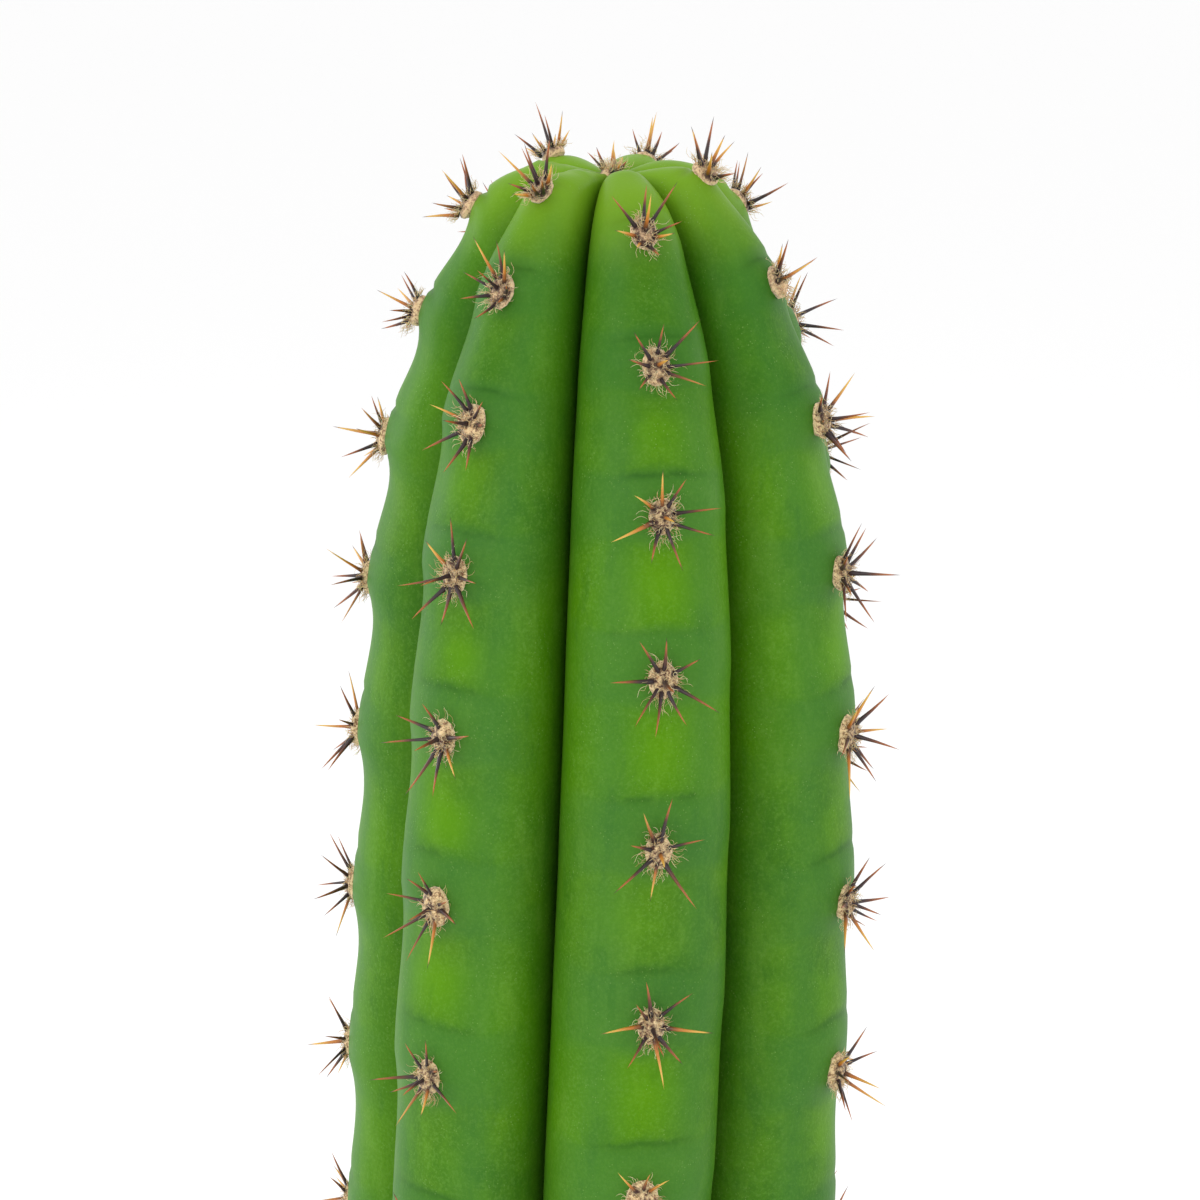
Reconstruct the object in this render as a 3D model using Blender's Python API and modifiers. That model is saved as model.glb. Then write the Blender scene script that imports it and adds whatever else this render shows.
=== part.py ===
"""A tall columnar cactus standing in a clay pot.

Three pieces: the turned pot, the soil that fills it and the grown stem, whose
areoles and spines are one body with its ribs. Lengths are metres, +Z is up, the
origin is the centre of the pot's base and the front of the plant faces -Y.
"""

from math import acos, atan2, cos, exp, hypot, pi, radians, sin, sqrt

import bmesh
import bpy
from mathutils import Vector

GAP = 0.0003  # clearance left between two pieces that touch

# clay pot
POT_HEIGHT = 0.150
RIM_RADIUS = 0.085
RIM_BAND = 0.032  # height of the thickened band under the rim
RIM_TAPER = 0.002  # the band's radius is this much smaller at its lower edge
BAND_STEP = 0.0045  # how far the band stands out from the wall below it
BASE_RADIUS = 0.057
WALL = 0.007
FLOOR = 0.010
DRAIN_RADIUS = 0.010
EDGE_ROUND = 0.0014
TURN_STEPS = 48

# soil
SOIL_BELOW_RIM = 0.014
SOIL_MOUND = 0.002  # the soil is this much higher in the middle
SOIL_TOP = POT_HEIGHT - SOIL_BELOW_RIM

# stem
RIBS = 7
CREST_RADIUS = 0.033
GROOVE_DEPTH = 0.40 * CREST_RADIUS
CREST_FLATNESS = 2.2  # a higher power makes the crest broader
GROOVE_POWER = 0.4  # a lower power makes the groove narrower
STEM_HEIGHT = 0.385  # from the soil to the growing tip
STEM_BURIED = 0.060
DOME_LENGTH = 0.030  # how slowly the stem widens below its tip
WAIST = 0.05  # share by which the stem narrows between two growth spurts
WAIST_START = 0.095
WAIST_LENGTH = 0.200
SWAY = 0.0029
SWAY_START = 0.037
SWAY_LENGTH = 0.220
FRONT_RIB_ANGLE = radians(11.2)  # the front rib's angle at the tip, from -Y to +X
TWIST = radians(-22.6)  # turn of the ribs for each metre down the stem

# areoles, the felted pads that carry the spines
FIRST_AREOLE = 0.0077  # depth of the front rib's first areole below the tip
AREOLE_PITCH = 0.024  # spacing of two areoles on the old part of a rib
PITCH_LAG = 0.0345  # length by which the crowded young areoles fall short
PITCH_GROWTH = 2.62  # number of areoles over which the spacing grows
AREOLES_PER_RIB = 17
RIB_SHIFT = 3 / RIBS  # each rib's areoles sit this share of a pitch off the next rib's
PAD_HALF_HEIGHT = 0.11  # in pitches
PAD_HALF_WIDTH = 0.15  # in half rib widths
PAD_BORDER = 0.0005
PAD_RISE = 0.0008
BULGE = 0.0011  # how far the crest swells at an areole
WAIST_POWER = 0.58  # puts the crest's low point a third of the way to the next areole
SPINE_LENGTH = 0.0066
YOUNG_SPINE_LENGTH = 0.0026
YOUNG_DEPTH = 0.020  # spines above this depth are still growing
SPINE_SPREAD = 1.25  # sideways lean of the outer spines against their rise

COLUMN_PLACES = (-1.0, -0.75, -PAD_HALF_WIDTH, PAD_HALF_WIDTH, 0.75)
ROW_PLACES = (-PAD_HALF_HEIGHT, PAD_HALF_HEIGHT, 0.5)
TIP_ROWS = (0.20, 0.55)  # shares of the depth of a rib's first areole
BURIED_ROWS = (0.0, 0.3, 0.62, 0.87, 1.0)  # shares of the buried length


def clear_scene():
    for item in list(bpy.data.objects):
        bpy.data.objects.remove(item, do_unlink=True)


def new_collection(name):
    collection = bpy.data.collections.new(name)
    bpy.context.scene.collection.children.link(collection)
    return collection


def finish(name, colour, roughness):
    material = bpy.data.materials.new(name)
    material.use_nodes = True
    shader = material.node_tree.nodes["Principled BSDF"]
    shader.inputs["Base Color"].default_value = (*colour, 1.0)
    shader.inputs["Roughness"].default_value = roughness
    shader.inputs["Metallic"].default_value = 0.0
    return material


def turned_piece(name, outline, closed, collection, material):
    """An object turned about Z from outline points of radius and height."""
    edges = [(i, i + 1) for i in range(len(outline) - 1)]
    if closed:
        edges.append((len(outline) - 1, 0))
    mesh = bpy.data.meshes.new(name)
    mesh.from_pydata([(radius, 0.0, height) for radius, height in outline], edges, [])
    piece = bpy.data.objects.new(name, mesh)
    collection.objects.link(piece)
    mesh.materials.append(material)
    screw = piece.modifiers.new("turn", "SCREW")
    screw.axis = "Z"
    screw.angle = 2 * pi
    screw.steps = TURN_STEPS
    screw.render_steps = TURN_STEPS
    screw.use_merge_vertices = True
    screw.merge_threshold = 0.00001
    screw.use_smooth_shade = True
    return piece


def inner_wall_radius(height):
    """Radius of the pot's inside at a height; the wall is one straight cone."""
    outer_top = RIM_RADIUS - RIM_TAPER - BAND_STEP
    share = height / (POT_HEIGHT - RIM_BAND)
    return BASE_RADIUS + (outer_top - BASE_RADIUS) * share - WALL


def make_pot(collection):
    band_low = POT_HEIGHT - RIM_BAND
    wall_top = RIM_RADIUS - RIM_TAPER - BAND_STEP
    outline = [
        (RIM_RADIUS, POT_HEIGHT),
        (RIM_RADIUS - RIM_TAPER, band_low),
        (wall_top, band_low),
        (BASE_RADIUS, 0.0),
        (DRAIN_RADIUS, 0.0),
        (DRAIN_RADIUS, FLOOR),
        (inner_wall_radius(FLOOR), FLOOR),
        (inner_wall_radius(POT_HEIGHT), POT_HEIGHT),
    ]
    clay = finish("terracotta", (0.50, 0.19, 0.09), 0.85)
    pot = turned_piece("clay_pot", outline, True, collection, clay)
    bevel = pot.modifiers.new("worn edges", "BEVEL")
    bevel.width = EDGE_ROUND
    bevel.segments = 2
    bevel.limit_method = "ANGLE"
    bevel.angle_limit = radians(35)
    return pot


def make_soil(collection, stem_socket):
    low = FLOOR + GAP
    outline = [
        (0.0, SOIL_TOP + SOIL_MOUND),
        (CREST_RADIUS * 1.3, SOIL_TOP + SOIL_MOUND),
        (inner_wall_radius(SOIL_TOP) - GAP, SOIL_TOP),
        (inner_wall_radius(low) - GAP - EDGE_ROUND, low),
        (0.0, low),
    ]
    loam = finish("potting_soil", (0.055, 0.032, 0.018), 0.95)
    soil = turned_piece("soil", outline, False, collection, loam)
    cut = soil.modifiers.new("stem socket", "BOOLEAN")
    cut.operation = "DIFFERENCE"
    cut.solver = "EXACT"
    cut.object = stem_socket
    return soil


def areole_depth(number):
    """Depth below the tip of an areole, counted from the top, on the front rib."""
    lag = PITCH_LAG * (1 - exp(-number / PITCH_GROWTH))
    return FIRST_AREOLE + AREOLE_PITCH * number - lag


def rib_offset(rib):
    """A rib's areoles against the front rib's, in pitches between -0.5 and 0.5."""
    shift = (-RIB_SHIFT * rib) % 1.0
    return shift - 1.0 if shift > 0.5 else shift


def crest_bulge(place):
    """Height of the crest, 1 at an areole, over one pitch from 0 to 1."""
    return 0.5 + 0.5 * cos(2 * pi * (place % 1.0) ** WAIST_POWER)


def crest_radius(depth):
    dome = CREST_RADIUS * sqrt(1 - exp(-depth / DOME_LENGTH))
    turn = 2 * pi * max(depth - WAIST_START, 0.0) / WAIST_LENGTH
    return dome * (1 - WAIST * (0.5 - 0.5 * cos(turn)))


def buried_share(depth):
    """Width of the rounded foot under the soil, 1 at the soil and 0 at its end."""
    sunk = min(max(depth - STEM_HEIGHT, 0.0) / STEM_BURIED, 1.0)
    return sqrt(1 - sunk**2.5)


def axis_shift(depth):
    phase = pi * (min(depth, STEM_HEIGHT) - SWAY_START) / SWAY_LENGTH
    foot = pi * (STEM_HEIGHT - SWAY_START) / SWAY_LENGTH
    return SWAY * (cos(phase) - cos(foot))


def skin_point(depth, rib, place, rise):
    """A point of the skin; place runs from -1 to 1 across the rib, groove to groove."""
    step = 0.0005
    radius = crest_radius(depth)
    widening = (crest_radius(depth + step) - radius) / step
    out = 1 / hypot(1, widening)
    up = widening * out
    share = buried_share(depth)
    crest = max(1 - abs(place) ** CREST_FLATNESS, 0.0) ** GROOVE_POWER
    groove = GROOVE_DEPTH * (radius / CREST_RADIUS) ** 1.5 * share
    lift = rise - groove * (1 - crest)
    reach = radius * share + lift * out
    angle = FRONT_RIB_ANGLE + TWIST * depth + (rib + place / 2) * 2 * pi / RIBS
    tip = SOIL_TOP + SOIL_MOUND + STEM_HEIGHT
    return Vector(
        (
            axis_shift(depth) + reach * sin(angle),
            -reach * cos(angle),
            tip - depth + lift * up,
        )
    )


def row_depths(offset, grow):
    """Depth of every row of the skin on a rib whose areoles have this offset."""
    first = areole_depth(offset + ROW_PLACES[0])
    depths = [0.0] + [first * share for share in TIP_ROWS]
    for number in range(AREOLES_PER_RIB):
        depths += [areole_depth(number + offset + place) for place in ROW_PLACES]
    foot = STEM_BURIED + 2 * grow
    return depths + [STEM_HEIGHT + foot * share for share in BURIED_ROWS]


def column_offset(rib, place):
    """Areole offset of a column; a groove takes the mean of its two ribs."""
    if place > -1.0:
        return rib_offset(rib)
    return (rib_offset(rib) + rib_offset(rib - 1)) / 2


def stem_skin(grow):
    """The ribbed skin as a closed mesh, and its vertices by row and column."""
    columns = len(COLUMN_PLACES)
    rows = len(row_depths(0.0, grow)) - 1
    around = RIBS * columns
    bm = bmesh.new()
    bmesh.ops.create_uvsphere(bm, u_segments=around, v_segments=rows, radius=1.0)
    grid = {}
    for vert in bm.verts:
        row = round(acos(max(-1.0, min(1.0, vert.co.z))) * rows / pi)
        column = round(atan2(vert.co.y, vert.co.x) * around / (2 * pi)) % around
        grid[row, column if 0 < row < rows else 0] = vert
    bulge_rows = range(1 + len(TIP_ROWS), rows + 1 - len(BURIED_ROWS))
    for (row, column), vert in grid.items():
        rib, order = divmod(column, columns)
        place = COLUMN_PLACES[order]
        offset = column_offset(rib, place)
        depth = row_depths(offset, grow)[row]
        rise = grow
        if row in bulge_rows:
            along = ROW_PLACES[(row - bulge_rows.start) % len(ROW_PLACES)]
            rise += BULGE * crest_bulge(along) * (1 - abs(place) ** 1.5)
        vert.co = skin_point(depth, rib, place, rise)
    return bm, grid


def areole_faces(bm, grid):
    """The skin face and the depth of each areole."""
    columns = len(COLUMN_PLACES)
    left = COLUMN_PLACES.index(-PAD_HALF_WIDTH)
    found = []
    for rib in range(RIBS):
        for number in range(AREOLES_PER_RIB):
            row = 1 + len(TIP_ROWS) + number * len(ROW_PLACES)
            column = rib * columns + left
            corners = [(row, column), (row + 1, column), (row + 1, column + 1), (row, column + 1)]
            face = bm.faces.get([grid[corner] for corner in corners])
            found.append((face, areole_depth(number + rib_offset(rib))))
    return found


def grow_spines(bm, face, depth):
    """Raise a pad on the face and draw nine spines out of it."""
    normal = face.normal.copy()
    middle = face.calc_center_median()
    bmesh.ops.inset_individual(bm, faces=[face], thickness=PAD_BORDER, depth=PAD_RISE)
    parted = bmesh.ops.subdivide_edges(bm, edges=list(face.edges), cuts=2, use_grid_fill=True)
    cells = [item for item in parted["geom_inner"] if isinstance(item, bmesh.types.BMFace)]
    tips = bmesh.ops.poke(bm, faces=cells)
    youth = max(1 - depth / YOUNG_DEPTH, 0.0)
    length = SPINE_LENGTH + (YOUNG_SPINE_LENGTH - SPINE_LENGTH) * youth
    for tip in tips["verts"]:
        sideways = tip.co - middle
        sideways -= normal * sideways.dot(normal)
        lean = SPINE_SPREAD * (1 - 0.5 * youth) if sideways.length > PAD_BORDER else 0.0
        heading = normal + sideways.normalized() * lean
        tip.co += heading.normalized() * length
    for part in tips["faces"]:
        part.material_index = 1


def make_stem_socket(collection):
    """The hole that the stem's foot fills in the soil, a gap wider all round."""
    bm, _ = stem_skin(GAP)
    bmesh.ops.triangulate(bm, faces=bm.faces[:], quad_method="FIXED")
    mesh = bpy.data.meshes.new("stem_socket")
    bm.to_mesh(mesh)
    bm.free()
    cutter = bpy.data.objects.new("stem_socket", mesh)
    collection.objects.link(cutter)
    cutter.hide_render = True
    cutter.display_type = "WIRE"
    return cutter


def make_stem(collection):
    bm, grid = stem_skin(0.0)
    bm.normal_update()
    for face, depth in areole_faces(bm, grid):
        grow_spines(bm, face, depth)
    bmesh.ops.triangulate(bm, faces=bm.faces[:], quad_method="FIXED")
    mesh = bpy.data.meshes.new("cactus_stem")
    bm.to_mesh(mesh)
    bm.free()
    mesh.shade_smooth()
    mesh.set_sharp_from_angle(angle=radians(50))
    mesh.materials.append(finish("green_skin", (0.10, 0.25, 0.03), 0.42))
    mesh.materials.append(finish("spines", (0.20, 0.08, 0.04), 0.40))
    stem = bpy.data.objects.new("cactus_stem", mesh)
    collection.objects.link(stem)
    return stem


def main():
    clear_scene()
    plant = new_collection("potted_tall_cactus")
    cutters = new_collection("cutters")
    make_pot(plant)
    make_soil(plant, make_stem_socket(cutters))
    make_stem(plant)


main()
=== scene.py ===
import math

import bmesh
import bpy
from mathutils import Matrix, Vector, noise


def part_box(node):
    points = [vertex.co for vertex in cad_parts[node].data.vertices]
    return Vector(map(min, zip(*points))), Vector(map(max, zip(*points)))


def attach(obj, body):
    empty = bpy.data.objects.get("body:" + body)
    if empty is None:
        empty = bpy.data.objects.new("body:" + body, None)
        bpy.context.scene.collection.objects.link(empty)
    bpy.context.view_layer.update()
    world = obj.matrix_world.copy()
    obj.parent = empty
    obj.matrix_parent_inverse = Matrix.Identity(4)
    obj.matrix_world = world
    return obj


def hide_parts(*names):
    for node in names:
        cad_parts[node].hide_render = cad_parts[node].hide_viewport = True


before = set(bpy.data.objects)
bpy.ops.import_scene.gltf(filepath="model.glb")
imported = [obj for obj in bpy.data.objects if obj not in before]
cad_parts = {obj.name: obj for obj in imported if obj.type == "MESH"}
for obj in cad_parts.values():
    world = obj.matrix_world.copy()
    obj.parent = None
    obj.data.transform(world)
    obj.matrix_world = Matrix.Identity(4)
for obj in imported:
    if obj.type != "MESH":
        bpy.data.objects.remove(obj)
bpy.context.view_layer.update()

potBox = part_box("clay_pot")
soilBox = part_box("soil")
print("frame loaded:", sorted(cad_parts))


# one output socket of a node tree; sums and products of wires and numbers add Math nodes
class Wire:
    def __init__(self, graph, socket):
        self.graph = graph
        self.socket = socket

    def get(self, name):  # another output of the same node
        return Wire(self.graph, pickSocket(self.socket.node.outputs, name))

    def __neg__(self):
        return self.graph.maths("MULTIPLY", self, -1.0)


def addOperator(name, operation):
    def forward(self, other):
        return self.graph.maths(operation, self, other)

    def reflected(self, other):
        return self.graph.maths(operation, other, self)

    setattr(Wire, "__" + name + "__", forward)
    setattr(Wire, "__r" + name + "__", reflected)


for name, operation in (("add", "ADD"), ("sub", "SUBTRACT"), ("mul", "MULTIPLY"), ("truediv", "DIVIDE")):
    addOperator(name, operation)


def pickSocket(sockets, name):
    if isinstance(name, int):
        return sockets[name]
    return next(s for s in sockets if s.enabled and s.name == name)


class Graph:
    def __init__(self, tree):
        self.tree = tree
        tree.nodes.clear()

    # every node comes from here: its type, settings, sockets' values or links, and the output wanted
    def node(self, kind, settings=None, sockets=None, give=None):
        made = self.tree.nodes.new(kind)
        for name, value in (settings or {}).items():
            setattr(made, name, value)
        for name, value in (sockets or {}).items():
            slot = pickSocket(made.inputs, name)
            for item in value if isinstance(value, list) else [value]:
                if isinstance(item, Wire):
                    self.tree.links.new(item.socket, slot)
                else:
                    slot.default_value = item
        if not made.outputs:
            return None
        if give is None:
            give = next(s for s in made.outputs if s.enabled).name
        return Wire(self, pickSocket(made.outputs, give))

    def maths(self, operation, *values):
        return self.node("ShaderNodeMath", {"operation": operation}, dict(enumerate(values)))

    def vector(self, operation, *values):
        sockets = dict(zip(("Vector", "Scale"), values)) if operation == "SCALE" else dict(enumerate(values))
        return self.node("ShaderNodeVectorMath", {"operation": operation}, sockets)

    def joinVector(self, x, y, z):
        return self.node("ShaderNodeCombineXYZ", None, {"X": x, "Y": y, "Z": z})

    def splitVector(self, vector):
        split = self.node("ShaderNodeSeparateXYZ", None, {"Vector": vector})
        return split, split.get("Y"), split.get("Z")

    def noise(self, vector, scale, detail=2.0, roughness=0.5):
        sockets = {"Vector": vector, "Scale": scale, "Detail": detail, "Roughness": roughness}
        return self.node("ShaderNodeTexNoise", None, sockets)

    def mixColours(self, factor, first, second):
        settings = {"data_type": "RGBA", "clamp_factor": True}
        return self.node("ShaderNodeMix", settings, {0: factor, 6: first, 7: second}, 2)

    # paints one colour after another where a pattern lies past its two levels
    def layers(self, colour, *table):
        for pattern, low, high, share, tint in table:
            colour = self.mixColours(smoothStep(pattern, low, high) * share, colour, tint)
        return colour

    def random(self, low, high, seed, number=None):
        sockets = {"Min": low, "Max": high, "Seed": seed}
        if number is not None:
            sockets["ID"] = number
        return self.node("FunctionNodeRandomValue", {"data_type": "FLOAT"}, sockets)

    def store(self, geometry, name, value, kind="FLOAT", domain="POINT"):
        sockets = {"Geometry": geometry, "Name": name, "Value": value}
        return self.node("GeometryNodeStoreNamedAttribute", {"data_type": kind, "domain": domain}, sockets)

    def read(self, name, kind="FLOAT"):
        return self.node("GeometryNodeInputNamedAttribute", {"data_type": kind}, {"Name": name})

    def copiesOf(self, geometry, amount, domain="POINT"):
        sockets = {"Geometry": geometry, "Amount": amount}
        copies = self.node("GeometryNodeDuplicateElements", {"domain": domain}, sockets)
        return copies, copies.get("Duplicate Index")

    def shapeOf(self, pattern):
        return self.node("GeometryNodeObjectInfo", None, {"Object": pattern}, "Geometry")

    def instances(self, points, shape, turned, scale):
        sockets = {"Points": points, "Instance": shape, "Rotation": turned, "Scale": scale}
        return self.node("GeometryNodeInstanceOnPoints", None, sockets)

    def shift(self, geometry, offset):
        sockets = {"Geometry": geometry, "Offset": offset}
        return self.node("GeometryNodeSetPosition", None, sockets)

    # what a material reads: a place on the object, a stored number, and a bumped surface
    def spot(self):
        return self.node("ShaderNodeTexCoord", None, None, "Object")

    def stored(self, name):
        return self.node("ShaderNodeAttribute", {"attribute_name": name}, None, "Fac")

    def bump(self, strength, distance, height):
        sockets = {"Strength": strength, "Distance": distance, "Height": height}
        return self.node("ShaderNodeBump", None, sockets)


# functions that take numbers and wires alike, so one formula serves a mesh and a node tree
def either(operation, plain):
    def work(*values):
        wire = next((value for value in values if isinstance(value, Wire)), None)
        return plain(*values) if wire is None else wire.graph.maths(operation, *values)
    return work


exponent = either("EXPONENT", math.exp)
root = either("SQRT", math.sqrt)
sine = either("SINE", math.sin)
cosine = either("COSINE", math.cos)
size = either("ABSOLUTE", abs)
larger = either("MAXIMUM", max)
smaller = either("MINIMUM", min)
wholePart = either("FLOOR", math.floor)
power = either("POWER", math.pow)


def fraction(x):
    return x - wholePart(x)


def bell(x, width):
    return exponent(-(x * x) / (width * width))


def smoothStep(x, low, high):
    share = smaller(larger((x - low) / (high - low), 0.0), 1.0)
    return share * share * (3.0 - 2.0 * share)


def rgb(red, green, blue):  # a colour as a paint chart gives it, 0 to 255
    def linear(value):
        value /= 255
        return value / 12.92 if value <= 0.04045 else ((value + 0.055) / 1.055) ** 2.4
    return (linear(red), linear(green), linear(blue), 1.0)


def newObject(name, data):
    made = bpy.data.objects.new(name, data)
    bpy.context.scene.collection.objects.link(made)
    return made


def meshFrom(bm, name):
    mesh = bpy.data.meshes.new(name)
    bm.to_mesh(mesh)
    bm.free()
    return mesh


# runs a Geometry Nodes tree on a mesh and gives back a plain mesh object
def growPiece(name, build, sizes, material, start=None):
    tree = bpy.data.node_groups.new(name, "GeometryNodeTree")
    graph = Graph(tree)
    tree.interface.new_socket("Geometry", in_out="INPUT", socket_type="NodeSocketGeometry")
    tree.interface.new_socket("Geometry", in_out="OUTPUT", socket_type="NodeSocketGeometry")
    sockets = {}
    for key, value in sizes.items():
        kind = "NodeSocketInt" if isinstance(value, int) else "NodeSocketFloat"
        sockets[key] = tree.interface.new_socket(key, in_out="INPUT", socket_type=kind)
    entry = graph.node("NodeGroupInput")
    inputs = {key: entry.get(key) for key in sizes}
    shape = build(graph, entry, inputs)
    shape = graph.node("GeometryNodeRealizeInstances", None, {"Geometry": shape})
    shape = graph.node("GeometryNodeSetMaterial", None, {"Geometry": shape, "Material": material})
    graph.node("NodeGroupOutput", None, {"Geometry": shape})

    holder = newObject(name + "Seed", start or bpy.data.meshes.new(name + "Seed"))
    modifier = holder.modifiers.new("grow", "NODES")
    modifier.node_group = tree
    for key, value in sizes.items():
        modifier[sockets[key].identifier] = value
    bpy.context.view_layer.update()
    evaluated = holder.evaluated_get(bpy.context.evaluated_depsgraph_get())
    mesh = bpy.data.meshes.new_from_object(evaluated)
    mesh.name = name
    holder.modifiers.remove(modifier)
    bpy.data.objects.remove(holder)
    print(name, len(mesh.polygons), "faces")
    return newObject(name, mesh)


def closeSeams(piece, distance):
    bm = bmesh.new()
    bm.from_mesh(piece.data)
    bmesh.ops.remove_doubles(bm, verts=bm.verts[:], dist=distance)
    bmesh.ops.recalc_face_normals(bm, faces=bm.faces[:])
    bm.to_mesh(piece.data)
    bm.free()
    piece.data.shade_smooth()


def place(piece, slotName, *nodes):
    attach(piece, "root")
    if nodes:
        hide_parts(*nodes)


def newMaterial(name, **constants):
    material = bpy.data.materials.new(name)
    material.use_nodes = True
    graph = Graph(material.node_tree)
    shader = graph.node("ShaderNodeBsdfPrincipled")
    graph.node("ShaderNodeOutputMaterial", None, {"Surface": shader})
    body = shader.socket.node
    for key, value in constants.items():
        body.inputs[key].default_value = value
    return material, graph, body


def feed(graph, body, **links):
    for key, wire in links.items():
        graph.tree.links.new(wire.socket, body.inputs[key.replace("_", " ")])


# stem: seven ribs grown from one formula
stem = {
    "ribs": 7,
    "columns": 32,  # faces across one rib, crowded towards its edges
    "edgeCrowding": 1.7,
    "rows": 430,  # faces down one rib, crowded towards the tip
    "rowStart": 0.01,
    "rowCrowding": 0.12,
    "crestRadius": 0.033,
    "grooveDepth": 0.0132,
    "crestFlatness": 2.2,
    "groovePower": 0.4,
    "height": 0.385,
    "buried": 0.060,
    "footPower": 2.5,  # how bluntly the buried foot closes
    "domeLength": 0.030,
    "waist": 0.05,  # a slimmer stretch, as a share of the radius
    "waistStart": 0.095,
    "waistLength": 0.200,
    "sway": 0.0029,  # the axis bends to and fro
    "swayStart": 0.037,
    "swayLength": 0.220,
    "frontRibAngle": math.radians(11.2),
    "twist": math.radians(-22.6),
    "nudge": 0.07,  # how unevenly the crests are spaced, in ribs
    "nudgeRate": 3.403,
    "sideNudge": 0.10,  # the ribs at the two sides lean backwards
    "rightRib": 2.0,
    "leftRib": 5.0,
    "wander": 0.0010,  # slow unevenness of the crests
    "wanderRate": 30.0,
    "wanderFade": 0.010,
    "bulge": 0.0011,  # the swelling at each areole
    "bulgePower": 0.58,
    "youngBulge": 0.8,  # how much more the ribs swell at their young areoles
    "youngBulgeLength": 0.045,
    "grownDepth": 0.030,
    "tipFade": 0.004,
    "notchPlace": 0.70,  # the furrow over each areole, as a share of the pitch
    "notchWidth": 0.035,
    "notchDepth": 0.00022,
    "notchBend": 0.10,  # how far down the furrow runs towards the flanks
    "youngNotch": 0.18,  # near the tip the furrow starts close above the areole and is deeper
    "youngNotchLength": 0.020,
    "fold": 1.5,
    "foldLength": 0.030,
    "tipGroove": 0.34,  # how much deeper the grooves and squarer the ribs are round the tip
    "tipSquare": 0.12,
    "tipLength": 0.008,
    "shoulder": 0.0024,  # how far the young ribs stand up round the tip
    "shoulderRadius": 0.0140,
    "shoulderWidth": 0.0070,
    "hollow": 0.0022,
    "hollowWidth": 0.0060,
    "betweenShare": 0.65,  # how much less of the shoulder the grooves get
    "betweenStart": 0.004,
}
stemTip = soilBox[1].z + stem["height"]

# areoles along a rib
areole = {
    "first": 0.0077,
    "pitch": 0.024,
    "lag": 0.0345,
    "growth": 2.62,
    "perRib": 17,
    "nearest": 0.0009,  # an areole closer to the tip than this is left out
    "youthLength": 0.020,
    "shift": 3 / 7,  # a rib's areoles against the next rib's, in pitches
    "lean": 0.0018,  # the young tip leans, so its areoles sit lower on one side
    "leanLength": 0.030,
    "settle": 0.0018,  # how far the shoulder carries the young areoles outwards
}


def areoleDepth(number):
    lag = areole["lag"] * (1.0 - exponent(-number / areole["growth"]))
    return areole["first"] + areole["pitch"] * number - lag


def tipLean(rib, depth):
    side = sine((rib - 0.25) * (2 * math.pi / stem["ribs"]))
    return exponent(-depth / areole["leanLength"]) * (areole["settle"] - side * areole["lean"])


def ribOffset(rib):
    shift = (-areole["shift"] * rib) % 1.0
    return shift - 1.0 if shift > 0.5 else shift


def crestRadius(s, depth):
    dome = s["crestRadius"] * root(1.0 - exponent(-depth / s["domeLength"]))
    turn = 2 * math.pi * larger(depth - s["waistStart"], 0.0) / s["waistLength"]
    return dome * (1.0 - s["waist"] * (0.5 - 0.5 * cosine(turn)))


def crestSlope(s, depth):  # how fast the stem widens, and its outward direction
    step = 0.0004
    widening = (crestRadius(s, depth + step) - crestRadius(s, depth)) / step
    out = 1.0 / root(1.0 + widening * widening)
    return out, widening * out


def axisShift(s, depth):
    phase = math.pi * (smaller(depth, s["height"]) - s["swayStart"]) / s["swayLength"]
    foot = math.pi * (s["height"] - s["swayStart"]) / s["swayLength"]
    return s["sway"] * (cosine(phase) - cosine(foot))


# ribs are not evenly spaced: each crest leans a little towards a neighbour
def ribAngle(s, depth, rib, across):
    backwards = bell(rib - s["rightRib"], 0.3) - bell(rib - s["leftRib"], 0.3)
    nudge = sine(rib * s["nudgeRate"]) * s["nudge"] + backwards * s["sideNudge"]
    turn = rib + across * 0.5 + nudge * (1.0 - across * across)
    return s["frontRibAngle"] + s["twist"] * depth + turn * (2 * math.pi) / s["ribs"]


# a point of the skin; across runs from -1 to 1 over a rib and lift is measured off the crest
def skinPlace(s, depth, rib, across, lift):
    radius = crestRadius(s, depth)
    out, up = crestSlope(s, depth)
    sunk = smaller(larger(depth - s["height"], 0.0) / s["buried"], 1.0)
    share = root(larger(1.0 - power(sunk, s["footPower"]), 0.0))
    tip = exponent(-depth / s["tipLength"])
    square = s["groovePower"] - s["tipSquare"] * tip
    crest = power(larger(1.0 - power(size(across), s["crestFlatness"]), 0.0), square)
    groove = radius * (s["grooveDepth"] / s["crestRadius"] + s["tipGroove"] * tip) * share
    raised = lift * share - groove * (1.0 - crest)
    reach = radius * share + raised * out
    angle = ribAngle(s, depth, rib, across)
    between = s["betweenShare"] * (1.0 - crest) * smaller(radius / s["betweenStart"], 1.0)
    rim = s["shoulder"] * bell(radius - s["shoulderRadius"], s["shoulderWidth"]) * (1.0 - between)
    rim = rim - s["hollow"] * bell(radius, s["hollowWidth"])
    height = stemTip + rim - depth + raised * up
    return axisShift(s, depth) + reach * sine(angle), -(reach * cosine(angle)), height


# how far a place is from the furrow over the next areole, in pitches
def furrowPhase(s, phase, depth, side):
    young = s["youngNotch"] * exponent(-depth / s["youngNotchLength"])
    return phase - s["notchPlace"] - young - s["notchBend"] * side * side


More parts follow.
